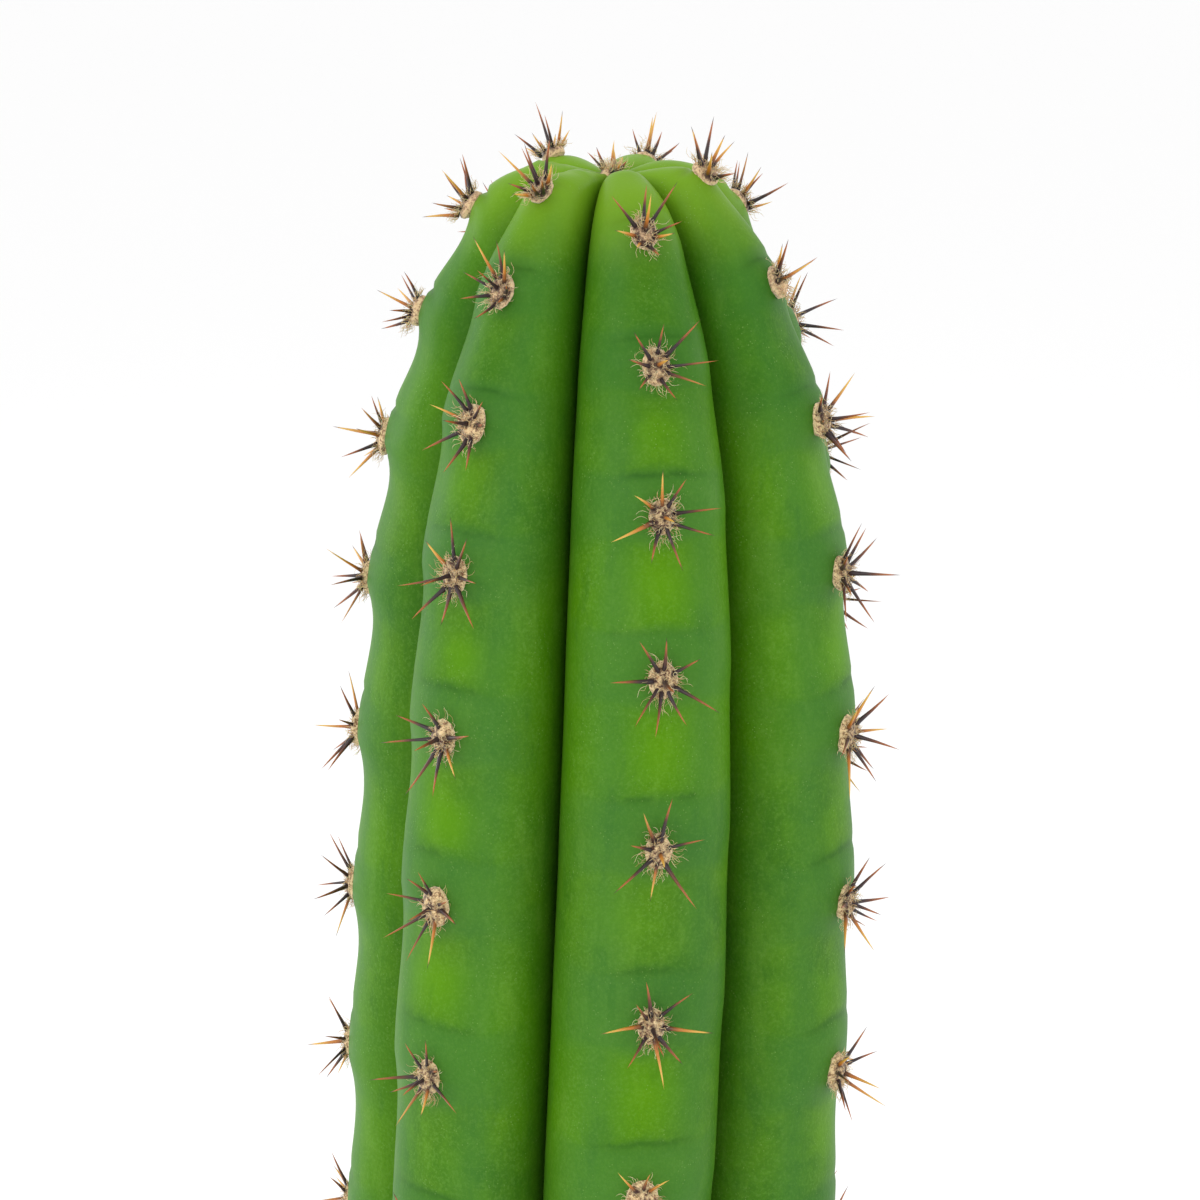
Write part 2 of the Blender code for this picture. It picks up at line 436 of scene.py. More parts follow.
# how the crest swells at its areoles and dips in the furrow over each
def crestLift(s, depth, phase, across):
    grown = smaller(depth / s["grownDepth"], 1.0)
    closed = smaller(depth / s["tipFade"], 1.0)
    swell = 0.5 + 0.5 * cosine(2 * math.pi * power(phase, s["bulgePower"]))
    swell = swell * (1.0 + s["youngBulge"] * exponent(-depth / s["youngBulgeLength"]))
    swell = swell * (1.0 - power(size(across), 1.5)) * (0.35 * closed + 0.65 * grown)
    furrow = bell(furrowPhase(s, phase, depth, across), s["notchWidth"]) * closed
    furrow = furrow * (1.0 - smoothStep(size(across), 0.20, 0.75))
    furrow = furrow * (1.0 + s["fold"] * exponent(-depth / s["foldLength"]))
    return s["bulge"] * swell - s["notchDepth"] * furrow


def stemTree(graph, entry, s):
    sockets = {"Size X": 2.0, "Size Y": 1.0, "Vertices X": s["columns"] + 1, "Vertices Y": s["rows"] + 1}
    strip = graph.node("GeometryNodeMeshGrid", None, sockets)
    single = graph.node("GeometryNodeGeometryToInstance", None, {"Geometry": strip})
    copies, number = graph.copiesOf(single, s["ribs"], "INSTANCE")
    ribs = graph.store(copies, "rib", number, "FLOAT", "INSTANCE")
    ribs = graph.node("GeometryNodeRealizeInstances", None, {"Geometry": ribs})

    x, y, _ = graph.splitVector(graph.node("GeometryNodeInputPosition"))
    rib = graph.read("rib")
    edge = 1.0 - power(1.0 - smaller(size(x), 1.0), s["edgeCrowding"])
    across = graph.maths("SIGN", x) * edge
    along = y + 0.5
    crowded = along * (along + s["rowStart"]) / (along + s["rowCrowding"])
    depth = (s["height"] + s["buried"]) * crowded * (1.0 + s["rowCrowding"]) / (1.0 + s["rowStart"])

    shift = fraction(rib * (-areole["shift"]))
    offset = shift - graph.maths("GREATER_THAN", shift, 0.5)
    upright = depth - tipLean(rib, depth)
    number = (upright - areole["first"] + areole["lag"] * 0.8) / areole["pitch"] - 0.2
    for _ in range(5):  # Newton's steps towards the areole number at this depth
        slope = areole["pitch"] - areole["lag"] / areole["growth"] * exponent(-number / areole["growth"])
        number = number - (areoleDepth(number) - upright) / larger(slope, 0.003)
    pitches = number - offset
    spread = graph.joinVector(across * 0.5 + rib * 3.0, depth * s["wanderRate"], 0.0)
    wander = (graph.noise(spread, 1.0, 2.0) - 0.5) * s["wander"]
    fade = (1.0 - across * across) * smaller(depth / s["wanderFade"], 1.0)
    lift = crestLift(s, depth, fraction(pitches), across) + wander * fade
    ribMap = graph.joinVector(rib * 4.0 + across, pitches, 0.0)
    ribs = graph.store(ribs, "ribMap", ribMap, "FLOAT2", "CORNER")
    skin = graph.joinVector(*skinPlace(s, depth, rib, across, lift))
    return graph.node("GeometryNodeSetPosition", None, {"Geometry": ribs, "Position": skin})


def skinMaterial():
    material, graph, body = newMaterial("waxyGreenSkin", **{
        "Subsurface Weight": 0.06, "Subsurface Scale": 0.003, "Subsurface Radius": (0.5, 1.0, 0.1),
        "Specular IOR Level": 0.08,
    })
    u, pitches, _ = graph.splitVector(graph.node("ShaderNodeUVMap", {"uv_map": "ribMap"}))
    rib = wholePart((u + 2.0) / 4.0)
    across = u - rib * 4.0
    side = size(across)
    phase = fraction(pitches)
    cell = wholePart(pitches + 0.35)
    spot = graph.spot()
    _, _, height = graph.splitVector(spot)
    depth = stemTip - height
    sockets = {"Vector": graph.joinVector(rib, cell, 4.0)}
    whim = graph.node("ShaderNodeTexWhiteNoise", None, sockets, "Value")

    cloud = graph.noise(spot, 70.0, 4.0, 0.6)
    broad = graph.noise(spot, 26.0, 2.0)
    fine = graph.noise(spot, 420.0, 3.0, 0.6)
    mottle = graph.noise(graph.vector("MULTIPLY", spot, (1.0, 1.0, 0.30)), 230.0, 4.0, 0.65)
    dust = graph.noise(spot, 2400.0, 2.0, 0.7)
    colour = graph.mixColours(smoothStep(cloud, 0.35, 0.68), rgb(62, 112, 26), rgb(86, 134, 20))
    colour = graph.layers(
        colour,
        (broad, 0.40, 0.62, 0.70, rgb(84, 138, 2)),
        (broad, 0.46, 0.34, 0.35, rgb(54, 104, 22)),
        (fine, 0.42, 0.64, 0.25, rgb(92, 144, 34)),
        (mottle, 0.54, 0.68, 0.35, rgb(48, 98, 26)),
        (mottle, 0.46, 0.34, 0.30, rgb(104, 152, 46)),
        (dust, 0.50, 0.66, 0.20, rgb(118, 164, 74)),
        (dust, 0.50, 0.36, 0.16, rgb(40, 92, 12)),
    )

    # yellow-green patch between two areoles, and the greyer bloom round the furrow and the areole
    patchPlace = phase - 0.44 - (whim - 0.5) * 0.10 + (cloud - 0.5) * 0.35
    crest = bell(across + (cloud - 0.5) * 0.9 + (fine - 0.5) * 0.20, 0.36)
    patch = bell(patchPlace, 0.16) * crest * (0.45 + 0.50 * whim) * smoothStep(broad, 0.30, 0.55)
    colour = graph.mixColours(patch, colour, rgb(88, 144, 0))
    under = 1.0 - smoothStep(phase, 0.10, 0.28)
    shoulder = bell(side - 0.42, 0.22)
    bloom = larger(larger(smoothStep(phase, 0.62, 0.76), under), shoulder * 0.8)
    bloom = bloom * (1.0 - smoothStep(side, 0.40, 0.95))
    colour = graph.mixColours(bloom * 0.60, colour, rgb(60, 113, 48))

    # furrow over each areole: a soft dark line, broken and fading towards the flanks
    chevron = furrowPhase(stem, phase, depth, across) + (fine - 0.5) * 0.05 + (cloud - 0.5) * 0.10
    fresh = exponent(-depth / 0.030)
    broken = larger(smoothStep(cloud + fine * 0.5, 0.60, 0.85), fresh)
    faded = (1.0 - smoothStep(side, 0.15, 0.60)) * broken
    softLine = bell(chevron, 0.060) * faded * (0.38 + 0.30 * fresh)
    colour = graph.mixColours(softLine, colour, rgb(44, 96, 26))
    sharpLine = bell(chevron, 0.020) * faded * (0.32 + 0.40 * fresh)
    colour = graph.mixColours(sharpLine, colour, rgb(30, 76, 22))

    # flanks are a darker green, with painted shade deepening towards the grooves; painted shade darkens the
    # dome a little below the tip; the tip is young and yellow
    flankGreenAndShade = smoothStep(side, 0.45, 0.98)
    colour = graph.mixColours(flankGreenAndShade * 0.40, colour, rgb(40, 90, 2))
    # painted shade: a darker green band a little below the tip, where the dome takes the most light
    colour = graph.mixColours(bell(depth - 0.018, 0.013) * 0.35, colour, rgb(50, 106, 8))
    young = 1.0 - smoothStep(depth + (cloud - 0.5) * 0.008, 0.001, 0.013)
    colour = graph.mixColours(young * 0.75, colour, rgb(124, 166, 34))

    # pale wax specks
    cells = graph.node("ShaderNodeTexVoronoi", {"feature": "F1"}, {"Vector": spot, "Scale": 2100.0})
    drift = smoothStep(graph.noise(spot, 260.0, 2.0), 0.50, 0.62)
    specks = (1.0 - smoothStep(cells, 0.06, 0.24)) * drift
    colour = graph.mixColours(specks * 0.30, colour, rgb(150, 186, 104))

    # the old foot turns corky
    ageing = depth + (cloud - 0.5) * 0.05 + (fine - 0.5) * 0.03
    cork = smoothStep(ageing, stem["height"] - 0.040, stem["height"] - 0.004) * 0.9
    bark = graph.mixColours(fine, rgb(112, 98, 62), rgb(150, 138, 100))
    colour = graph.mixColours(cork, colour, bark)

    grain = graph.noise(spot, 2600.0, 2.0, 0.6)
    relief = grain * 0.5 + specks * 0.6 + cork * fine * 3.0
    bump = graph.bump(0.35, 0.00012, relief)
    roughness = 0.46 + (fine - 0.5) * 0.16 + cork * 0.35 - young * 0.08
    feed(graph, body, Base_Color=colour, Roughness=roughness, Normal=bump)
    return material


seamGap = 0.000003
stemSkin = growPiece("stemSkin", stemTree, stem, skinMaterial())
closeSeams(stemSkin, seamGap)


# areoles: points on the crests that carry the pads, hairs and spines
def areoleMesh():
    places, outward, downward, youth, numbers = [], [], [], [], []
    for rib in range(stem["ribs"]):
        for number in range(-1, areole["perRib"]):
            depth = areoleDepth(number + ribOffset(rib))
            if depth < areole["nearest"]:
                continue
            depth += tipLean(rib, depth)
            lift = crestLift(stem, depth, 0.0, 0.0)
            here = Vector(skinPlace(stem, depth, rib, 0.0, lift))
            below = Vector(skinPlace(stem, depth + 0.0006, rib, 0.0, lift))
            out, up = crestSlope(stem, depth)
            angle = ribAngle(stem, depth, rib, 0.0)
            places.append(here)
            outward.append(Vector((out * math.sin(angle), -out * math.cos(angle), up)))
            downward.append((below - here).normalized())
            youth.append(math.exp(-depth / areole["youthLength"]))
            numbers.append(rib * 40 + number + 2)
    # the woolly tip itself
    places.append(Vector(skinPlace(stem, 0.0, 0, 0.0, 0.0)))
    outward.append(Vector((0.0, 0.0, 1.0)))
    downward.append(Vector((0.0, -1.0, 0.0)))
    youth.append(1.0)
    numbers.append(stem["ribs"] * 40)
    mesh = bpy.data.meshes.new("areoles")
    mesh.from_pydata(places, [], [])
    for name, vectors in (("outward", outward), ("downward", downward)):
        data = mesh.attributes.new(name, "FLOAT_VECTOR", "POINT").data
        for item, vector in zip(data, vectors):
            item.vector = vector
    for name, values in (("youth", youth), ("number", numbers)):
        data = mesh.attributes.new(name, "FLOAT", "POINT").data
        for item, value in zip(data, values):
            item.value = value
    return mesh


# an areole's own frame, read from its point: outward, down the rib, sideways
def areoleFrame(graph):
    out = graph.read("outward", "FLOAT_VECTOR")
    down = graph.read("downward", "FLOAT_VECTOR")
    return out, down, graph.vector("CROSS_PRODUCT", down, out)


def inFrame(graph, axes, *amounts):
    first, second, third = [graph.vector("SCALE", axis, amount) for axis, amount in zip(axes, amounts)]
    return graph.vector("ADD", graph.vector("ADD", first, second), third)


pad = {
    "halfWidth": 0.0018,
    "halfLength": 0.0024,
    "rise": 0.0012,
    "lump": 0.0009,
    "segments": 14,
    "rings": 8,
}

spine = {
    "length": 0.0064,
    "youngLength": 0.0062,
    "lowerShare": 0.35,  # how much shorter the lowest spines of a young areole are
    "tipShare": 0.5,  # and all the spines right at the tip
    "thickness": 0.00032,  # radius at the swollen foot
    "most": 9,
    "central": 1,
}


# points where spines leave their pads, with each spine's heading, length and tint
def spineRoots(graph, points, s):
    copies, order = graph.copiesOf(points, s["most"])
    copies = graph.store(copies, "order", order)
    order = graph.read("order")
    areoleNumber = graph.read("number")
    youth = graph.read("youth")
    key = areoleNumber * 16.0 + order
    central = graph.maths("LESS_THAN", order, s["central"] - 0.5)
    turn = graph.random(0.0, 1.0, 3, areoleNumber)
    seat = order + turn + graph.random(-0.28, 0.28, 5, key)
    angle = seat / (s["most"] - s["central"]) * (2 * math.pi)
    ring = 1.0 - central
    sideways = sine(angle) * ring
    downwards = cosine(angle) * ring

    axes = areoleFrame(graph)
    downwards = downwards + youth * 0.25 * ring
    rise = graph.random(0.25, 0.85, 7, key) + central * 1.2 + youth * 0.9
    lean = (0.30 - youth * 0.65) * central - youth * 0.35
    tilt = downwards + lean + graph.random(-0.12, 0.12, 9, key)
    heading = graph.vector("NORMALIZE", inFrame(graph, axes, rise, tilt, sideways))
    place = graph.random(0.38, 0.72, 12, key)
    baseDown = downwards * pad["halfLength"] * place
    baseAcross = sideways * pad["halfWidth"] * place
    base = inFrame(graph, axes, 0.00055 + central * 0.0003, baseDown, baseAcross)

    length = s["length"] + (s["youngLength"] - s["length"]) * youth
    length = length * (graph.random(0.62, 1.12, 11, key) - youth * ring * 0.15)
    length = length * (1.0 - larger(downwards, 0.0) * s["lowerShare"] * youth)
    length = length * (1.0 - s["tipShare"] * smoothStep(youth, 0.80, 0.94))
    moved = graph.store(graph.shift(copies, base), "heading", heading, "FLOAT_VECTOR")
    moved = graph.store(moved, "reach", length)
    kept = larger(graph.maths("LESS_THAN", graph.random(0.0, 1.0, 13, key), 0.90), central)
    dropped = {"Geometry": moved, "Selection": graph.maths("LESS_THAN", kept, 0.5)}
    moved = graph.node("GeometryNodeDeleteGeometry", {"domain": "POINT"}, dropped)
    return graph.store(moved, "tint", graph.random(0.0, 1.0, 15, key))


# a closed tube round points, each with its own radius, that ends in a point
def fibreMesh(name, path, sides):
    bm = bmesh.new()
    rings = []
    for x, y, z, radius in path[:-1]:
        turns = [side * 2 * math.pi / sides for side in range(sides)]
        spokes = [(x + radius * math.cos(turn), y + radius * math.sin(turn), z) for turn in turns]
        rings.append([bm.verts.new(spoke) for spoke in spokes])
    tip = bm.verts.new(path[-1][:3])
    for low, high in zip(rings, rings[1:]):
        for side in range(sides):
            after = (side + 1) % sides
            bm.faces.new((low[side], low[after], high[after], high[side]))
    for side in range(sides):
        bm.faces.new((rings[-1][side], rings[-1][(side + 1) % sides], tip))
    bm.faces.new(rings[0][::-1])
    mesh = meshFrom(bm, name)
    mesh.shade_smooth()
    along = mesh.attributes.new("along", "FLOAT", "POINT").data
    for item, vertex in zip(along, mesh.vertices):
        item.value = vertex.co.z
    return newObject(name, mesh)


# places fibres on roots that carry a heading and a reach
def instanceFibres(graph, roots, pattern, width, height, seed):
    heading = graph.read("heading", "FLOAT_VECTOR")
    turned = graph.node("FunctionNodeAlignRotationToVector", {"axis": "Z"}, {"Vector": heading})
    spin = graph.joinVector(0.0, 0.0, graph.random(0.0, 2 * math.pi, seed))
    twist = graph.node("FunctionNodeEulerToRotation", None, {"Euler": spin})
    sockets = {"Rotation": turned, "Rotate By": twist}
    turned = graph.node("FunctionNodeRotateRotation", {"rotation_space": "LOCAL"}, sockets)
    scale = graph.joinVector(width, width, height)
    return graph.instances(roots, graph.shapeOf(pattern), turned, scale)


# one unit long, with a swollen foot and a slight bend; widths are in thicknesses
thornOutline = ((0.0, 0.85), (0.07, 1.0), (0.20, 0.76), (0.50, 0.52), (0.80, 0.26), (1.0, 0.0))
thorn = fibreMesh("thornPattern", [(1.1 * z * z, 0.0, z, radius) for z, radius in thornOutline], 6)


def spineTree(graph, entry, s):
    roots = spineRoots(graph, entry, s)
    thickness = s["thickness"] * graph.random(0.8, 1.15, 19)
    return instanceFibres(graph, roots, thorn, thickness, graph.read("reach"), 17)


def spineMaterial():
    material, graph, body = newMaterial("hornySpine", **{
        "Subsurface Weight": 0.08, "Subsurface Scale": 0.001, "Specular IOR Level": 0.5, "Coat Weight": 0.15,
    })
    along = graph.stored("along")
    tint = graph.stored("tint")
    youth = graph.stored("youth")
    spot = graph.spot()
    streak = graph.noise(spot, 1400.0, 2.0)
    grown = graph.mixColours(smoothStep(along, 0.35, 0.85), rgb(92, 46, 24), rgb(170, 96, 38))
    honey = graph.mixColours(smoothStep(along, 0.25, 0.80), rgb(186, 112, 30), rgb(226, 178, 78))
    pale = smoothStep(tint + youth * 0.35, 0.72, 0.86)
    colour = graph.mixColours(pale, grown, honey)
    foot = 1.0 - smoothStep(along + (tint - 0.5) * 0.40 + (streak - 0.5) * 0.2, 0.18, 0.52)
    colour = graph.mixColours(foot, colour, rgb(42, 24, 28))
    darkTip = smoothStep(along, 0.78, 0.95) * smoothStep(fraction(tint * 7.0), 0.55, 0.65)
    colour = graph.mixColours(darkTip, colour, rgb(52, 30, 28))
    bump = graph.bump(0.3, 0.00005, streak)
    feed(graph, body, Base_Color=colour, Roughness=0.38 + streak * 0.15, Normal=bump)
    return material


areoles = areoleMesh()
spines = growPiece("spines", spineTree, spine, spineMaterial(), areoles)


# felted pads, sunk a little into the crest
def padTree(graph, entry, s):
    sockets = {"Segments": s["segments"], "Rings": s["rings"], "Radius": 1.0}
    ball = graph.node("GeometryNodeMeshUVSphere", None, sockets, "Mesh")
    youth = graph.read("youth")
    out, down, _ = areoleFrame(graph)
    settings = {"primary_axis": "Z", "secondary_axis": "Y"}
    sockets = {"Primary Axis": out, "Secondary Axis": down}
    turned = graph.node("FunctionNodeAxesToRotation", settings, sockets)
    grown = graph.random(0.90, 1.10, 21) * (1.0 - youth * 0.25)
    thick = s["rise"] * (1.0 - youth * 0.15)
    scale = graph.joinVector(s["halfWidth"] * grown, s["halfLength"] * grown, thick)
    pads = graph.instances(entry, ball, turned, scale)
    pads = graph.node("GeometryNodeRealizeInstances", None, {"Geometry": pads})
    sockets = {"Geometry": spineRoots(graph, entry, spine)}
    hole = graph.node("GeometryNodeProximity", {"target_element": "POINTS"}, sockets, "Distance")
    pads = graph.store(pads, "nearSpine", hole)
    spot = graph.node("GeometryNodeInputPosition")
    lump = (graph.noise(spot, 900.0, 3.0, 0.6) - 0.5) * s["lump"]
    normal = graph.node("GeometryNodeInputNormal", None, None, "Normal")
    return graph.shift(pads, graph.vector("SCALE", normal, lump))


def woolMaterial():
    material, graph, body = newMaterial("areoleFelt", **{
        "Sheen Weight": 0.4, "Sheen Roughness": 0.5, "Specular IOR Level": 0.2,
    })
    spot = graph.spot()
    near = graph.stored("nearSpine")
    youth = graph.stored("youth")
    swirl = graph.vector("SCALE", graph.noise(spot, 900.0, 2.0).get("Color"), 0.0012)
    tangle = graph.noise(graph.vector("ADD", spot, swirl), 2600.0, 3.0, 0.7)
    colour = graph.mixColours(smoothStep(tangle, 0.36, 0.56), rgb(134, 94, 66), rgb(238, 210, 160))
    colour = graph.mixColours(smoothStep(youth, 0.1, 0.6) * 0.35, colour, rgb(222, 178, 148))
    hole = 1.0 - smoothStep(near + (tangle - 0.5) * 0.0006, 0.00040, 0.00084)
    colour = graph.mixColours(hole * 0.9, colour, rgb(54, 30, 32))
    bump = graph.bump(0.8, 0.00025, tangle)
    feed(graph, body, Base_Color=colour, Roughness=0.85 + tangle * 0.15, Normal=bump)
    return material


pads = growPiece("areolePads", padTree, pad, woolMaterial(), areoles)

# hairs: long curls round the rim of a pad and short felt all over it
curl = {
    "most": 38,
    "length": 0.0018,
    "thickness": 0.000028,
    "inner": 0.70,  # nearest and furthest place from the middle of the pad, in half widths
    "outer": 1.02,
    "rise": 0.30,
    "lowered": 0.80,  # how much the hairs gather at the lower rim
    "droop": 0.75,
    "seed": 40,
}
nap = {
    "most": 90,
    "length": 0.0011,
    "thickness": 0.000050,
    "inner": 0.05,
    "outer": 1.0,
    "rise": 0.45,
    "lowered": 0.0,
    "droop": 0.1,
    "seed": 60,
}
curlPath = []
for z in (0.0, 0.2, 0.4, 0.6, 0.8, 1.0):
    curlPath.append((9.0 * math.sin(z * 5.2), 9.0 - 9.0 * math.cos(z * 5.2), z, 1.0))
napPath = []
for z in (0.0, 0.35, 0.7, 1.0):
    napPath.append((6.0 * math.sin(z * 3.0), 3.0 * z * z, z, 1.0 - 0.4 * z))
curlPattern = fibreMesh("curlPattern", curlPath, 3)
napPattern = fibreMesh("napPattern", napPath, 3)


def hairTree(pattern):
    def build(graph, entry, s):
        copies, order = graph.copiesOf(entry, s["most"])
        copies = graph.store(copies, "order", order)
        key = graph.read("number") * 64.0 + graph.read("order")
        youth = graph.read("youth")

        def draw(low, high, which):
            return graph.random(low, high, s["seed"] + which, key)

        angle = draw(0.0, 2 * math.pi, 0.0)
        angle = angle - sine(angle) * s["lowered"]
        spread = s["inner"] + (s["outer"] - s["inner"]) * root(draw(0.0, 1.0, 1.0))
        down = cosine(angle)
        across = sine(angle)
        axes = areoleFrame(graph)
        spread = spread * (1.0 - youth * 0.2)
        dome = root(larger(1.0 - spread * spread, 0.02)) * pad["rise"] * 0.9
        baseDown = down * spread * pad["halfLength"]
        base = inFrame(graph, axes, dome, baseDown, across * spread * pad["halfWidth"])
        wild = draw(-0.8, 0.8, 2.0)
        lean = down * spread + s["droop"] * draw(0.0, 1.0, 3.0) + wild - youth * 0.4
        sideways = across * spread + draw(-0.8, 0.8, 4.0)
        rise = s["rise"] * draw(0.3, 1.3, 5.0) + youth * 0.5
        heading = graph.vector("NORMALIZE", inFrame(graph, axes, rise, lean, sideways))
        length = s["length"] * draw(0.5, 1.15, 6.0) * (1.0 + youth * 0.1)
        roots = graph.store(graph.shift(copies, base), "heading", heading, "FLOAT_VECTOR")
        roots = graph.store(roots, "reach", length)
        roots = graph.store(roots, "tint", draw(0.0, 1.0, 7.0))
        return instanceFibres(graph, roots, pattern, s["thickness"], graph.read("reach"), 80)
    return build


def hairMaterial():
    material, graph, body = newMaterial("areoleHair", **{
        "Subsurface Weight": 0.2, "Subsurface Scale": 0.0006, "Specular IOR Level": 0.3,
    })
    tint = graph.stored("tint")
    youth = graph.stored("youth")
    colour = graph.mixColours(tint, rgb(186, 146, 96), rgb(244, 222, 176))
    colour = graph.mixColours(youth * 0.5, colour, rgb(238, 212, 172))
    feed(graph, body, Base_Color=colour, Roughness=0.55 + tint * 0.2)
    return material


hairLook = hairMaterial()
curls = growPiece("areoleCurls", hairTree(curlPattern), curl, hairLook, areoles)
felting = growPiece("areoleFelt", hairTree(napPattern), nap, hairLook, areoles)
for pattern in (thorn, curlPattern, napPattern):
    bpy.data.objects.remove(pattern)
print("plant grown")


# joins equal loops of points with faces; an end that is a single point closes there
def loopMesh(name, loops, ring, material):
    bm = bmesh.new()
    made = [[bm.verts.new(point) for point in loop] for loop in loops]
    pairs = list(zip(made, made[1:]))
    if ring:
        pairs.append((made[-1], made[0]))
    for first, second in pairs:
        count = max(len(first), len(second))
        for i in range(count):
            j = (i + 1) % count
            corners = [first[i % len(first)], first[j % len(first)]]
            corners += [second[j % len(second)], second[i % len(second)]]
            bm.faces.new(list(dict.fromkeys(corners)))
    bmesh.ops.recalc_face_normals(bm, faces=bm.faces[:])
    mesh = meshFrom(bm, name)
    mesh.shade_smooth()
    mesh.materials.append(material)
    print(name, len(mesh.polygons), "faces")
    return newObject(name, mesh)


# clay pot
pot = {
    "columns": 180,
    "baseRadius": 0.057,
    "wall": 0.007,
    "floor": 0.010,
    "drainRadius": 0.010,
    "rimBand": 0.032,  # height of the thick band under the rim
    "rimTaper": 0.002,
    "bandStep": 0.0045,
    "edge": 0.0017,  # rounding of the worn edges
    "arcSteps": 5,
    "row": 0.0016,  # height of a face on the walls
    "ringPitch": 0.0046,  # spacing and depth of the throwing rings
    "ringDepth": 0.00016,
    "wobble": 0.00035,
}
potHeight = potBox[1].z
rimRadius = potBox[1].x


def innerWall(height):
    top = rimRadius - pot["rimTaper"] - pot["bandStep"]
    share = height / (potHeight - pot["rimBand"])
    return pot["baseRadius"] + (top - pot["baseRadius"]) * share - pot["wall"]


# an outline of corners of radius, height and rounding, with arcs at the corners and even rows between
def roundedOutline(corners, steps, row):
    points = []
    count = len(corners)
    for i, (radius, height, edge) in enumerate(corners):
        here = Vector((radius, height))
        before = (Vector(corners[i - 1][:2]) - here).normalized()
        after = (Vector(corners[(i + 1) % count][:2]) - here).normalized()
        half = before.angle(after) / 2
        first = here + before * edge / math.tan(half)
        last = here + after * edge / math.tan(half)
        centre = here + (before + after).normalized() * edge / math.sin(half)
        for step in range(steps + 1):
            spoke = (first - centre).normalized().slerp((last - centre).normalized(), step / steps)
            points.append(centre + spoke * edge)
    filled = []
    for first, second in zip(points, points[1:] + points[:1]):
        pieces = max(1, round((second - first).length / row))
        filled += [first.lerp(second, piece / pieces) for piece in range(pieces)]
    return filled


def potLoops():
    bandLow = potHeight - pot["rimBand"]
    bandRadius = rimRadius - pot["rimTaper"]
    edge = pot["edge"]
    corners = [
        (rimRadius, potHeight, edge * 1.3),
        (bandRadius, bandLow, edge),
        (bandRadius - pot["bandStep"], bandLow, edge * 0.8),
        (pot["baseRadius"], 0.0, edge),
        (pot["drainRadius"], 0.0, edge * 0.6),
        (pot["drainRadius"], pot["floor"], edge * 0.6),
        (innerWall(pot["floor"]), pot["floor"], edge * 2),
        (innerWall(potHeight), potHeight, edge * 1.3),
    ]
    loops = []
    for radius, height in roundedOutline(corners, pot["arcSteps"], pot["row"]):
        outer = radius > innerWall(height) + pot["wall"] * 0.5
        loop = []
        for column in range(pot["columns"]):
            turn = column * 2 * math.pi / pot["columns"]
            way = Vector((math.sin(turn), -math.cos(turn), 0.0))
            soft = noise.noise(way * 1.3 + Vector((0.0, 0.0, height * 9.0)))
            drift = noise.noise(way * 0.8 + Vector((3.0, 0.0, height * 40.0)))
            ring = math.sin(2 * math.pi * (height / pot["ringPitch"] + drift * 0.8))
            grown = soft * pot["wobble"] + ring * pot["ringDepth"] * (0.4 + 0.6 * size(drift)) * outer
            grown = min(grown, rimRadius - radius) * smoothStep(height, 0.0, 0.006)
            loop.append(way * (radius + grown) + Vector((0.0, 0.0, height)))
        loops.append(loop)
    return loops


def clayMaterial():
    material, graph, body = newMaterial("firedClay", **{"Specular IOR Level": 0.25})
    spot = graph.spot()
    x, y, height = graph.splitVector(spot)
    cloud = graph.noise(spot, 22.0, 4.0, 0.6)
    blotch = graph.noise(spot, 60.0, 5.0, 0.65)
    fine = graph.noise(spot, 900.0, 3.0, 0.7)
    level = graph.vector("MULTIPLY", spot, (0.35, 0.35, 9.0))
    wiped = graph.noise(level, 90.0, 3.0, 0.6)
    colour = graph.mixColours(smoothStep(cloud, 0.35, 0.65), rgb(164, 84, 52), rgb(188, 104, 66))
    colour = graph.layers(
        colour,
        (wiped, 0.40, 0.70, 0.35, rgb(202, 126, 86)),
        (fine, 0.55, 0.75, 0.30, rgb(132, 66, 44)),
    )
    # white salts creep out low on the wall and under the rim band
    low = 1.0 - smoothStep(height + (cloud - 0.5) * 0.09, 0.012, 0.070)
    band = bell(height - (potHeight - pot["rimBand"] - 0.006), 0.011)
    salt = larger(low, band * 0.8) * smoothStep(blotch, 0.44, 0.62)
    colour = graph.mixColours(salt * 0.42, colour, rgb(214, 186, 160))
    # the lip is stained by water and soil, and the inside of the wall is painted darker
    stain = smoothStep(height + (blotch - 0.5) * 0.012, potHeight - 0.006, potHeight - 0.001) * 0.30
    foot = innerWall(0.0)
    beyond = root(x * x + y * y) - height * ((innerWall(potHeight) - foot) / potHeight) - foot
    inside = 1.0 - smoothStep(beyond, 0.0025, 0.0045)
    colour = graph.mixColours(larger(stain, inside * 0.55), colour, rgb(98, 62, 44))
    pits = smoothStep(graph.noise(spot, 480.0, 2.0), 0.66, 0.74)
    colour = graph.mixColours(pits * 0.4, colour, rgb(108, 56, 38))
    relief = fine * 0.5 + wiped * 0.8 - pits * 1.2 + salt * 0.4
    bump = graph.bump(0.5, 0.0003, relief)
    feed(graph, body, Base_Color=colour, Roughness=0.78 + fine * 0.18, Normal=bump)
    return material


potPiece = loopMesh("turnedPot", potLoops(), True, clayMaterial())

# soil bed
bed = {
    "belowRim": 0.014,
    "rings": 46,
    "gap": 0.0003,
    "lumps": 0.0022,
    "wallRows": 12,
    "socketRows": 16,
    "sunk": 0.0006,  # the level at the stem, under the CAD soil's top
    "dish": 0.0015,  # the hollow round the stem, and the fall at the wall
    "fall": 0.0010,
    "chamfer": 0.004,
    "chamferSlope": 0.6,
}
soilEdge = potHeight - bed["belowRim"]
soilTop = soilBox[1].z


def ribSteps():
    half = stem["columns"] / 2
    places = [(column - half) / half for column in range(stem["columns"])]
    return [(rib, across) for rib in range(stem["ribs"]) for across in places]


def soilLumps(point):
    rough = noise.fractal(point * 70.0, 1.0, 2.0, 5) * 0.6 + noise.noise(point * 420.0) * 0.35
    return rough * bed["lumps"]


def socketLoop(depth):
    return [Vector(skinPlace(stem, depth, rib, across, bed["gap"])) for rib, across in ribSteps()]


